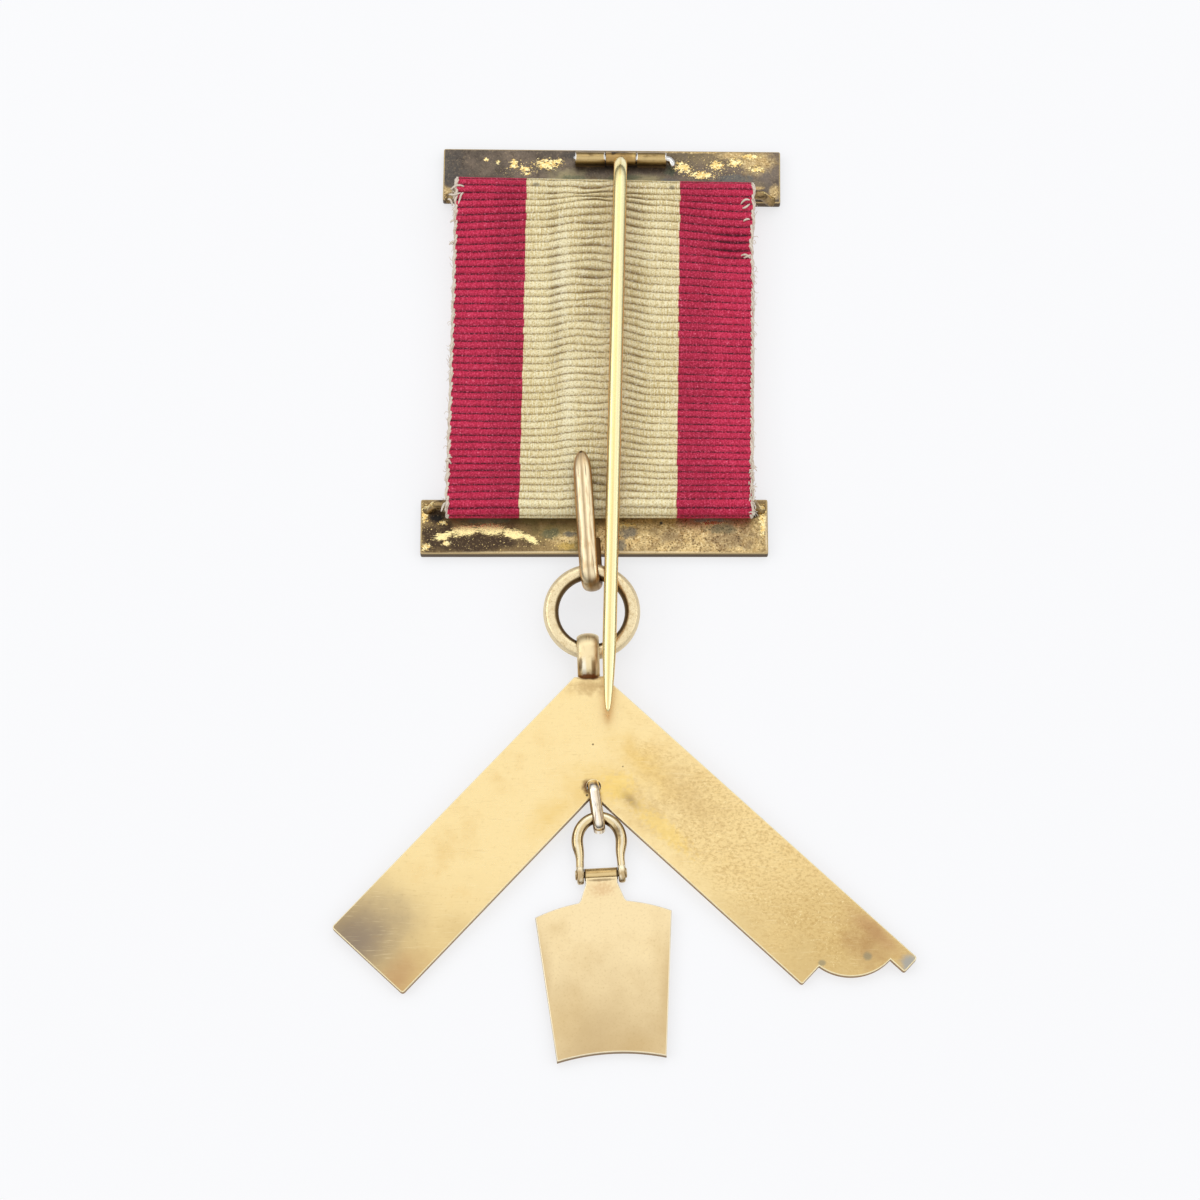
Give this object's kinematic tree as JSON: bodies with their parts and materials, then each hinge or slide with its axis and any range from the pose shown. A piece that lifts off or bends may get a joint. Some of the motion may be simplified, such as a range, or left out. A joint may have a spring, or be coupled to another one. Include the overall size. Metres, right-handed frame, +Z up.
{
  "type": "masonic breast jewel",
  "caption": "Breast jewel lying on its face: a brooch bar, a ribbon looped to a lower bar, a hook, a ring, a builder's square and a keystone on a shackle.",
  "frame": {"origin": "on the surface that the jewel lies on, under the middle of its outline", "axes": "+Z up, out of the back of the jewel; +Y along the jewel, from the keystone to the top bar; +X to the right as its back is seen"},
  "size_m": [0.0684, 0.1162, 0.0063],
  "materials": {
    "bar_tarnished_gilt": "dark brown and grey tarnish over gilt silver, worn to gold in flecks",
    "hinge_bright_wire": "bright drawn wire",
    "pin_bright_gilt": "bright yellow gilt, polished",
    "ribbon_weave": "ribbed silk, crimson sides and an olive-buff middle, cream selvedges",
    "ring_brushed_gilt": "brushed pale gilt",
    "square_worn_gilt": "satin gilt with brown mottling and a worn silver tip",
    "link_polished_gilt": "polished pale gilt",
    "shackle_gilt": "cast and polished gilt",
    "keystone_matt_gilt": "soft matt gilt"
  },
  "bodies": {
    "jewel": {"top_bar": "bar_tarnished_gilt", "hinge_wire": "hinge_bright_wire", "ribbon": "ribbon_weave", "bottom_bar": "bar_tarnished_gilt", "suspension_ring": "ring_brushed_gilt", "square": "square_worn_gilt", "corner_link": "link_polished_gilt", "shackle": "shackle_gilt", "cross_pin": "shackle_gilt"},
    "pin": {"brooch_pin": "pin_bright_gilt"},
    "keystone_drop": {"keystone": "keystone_matt_gilt"}
  },
  "joints": [
    {"name": "pin_hinge", "type": "hinge", "parent": "jewel", "child": "pin", "pos_m": [-0.00023, 0.05622, 0.00228], "axis": [-0.9999, 0.0105, 0], "range_deg": [0, 110]},
    {"name": "keystone_hinge", "type": "hinge", "parent": "jewel", "child": "keystone_drop", "pos_m": [-0.00269, -0.03553, 0.00072], "axis": [-0.9984, -0.0558, 0], "range_deg": [0, 120]}
  ]
}
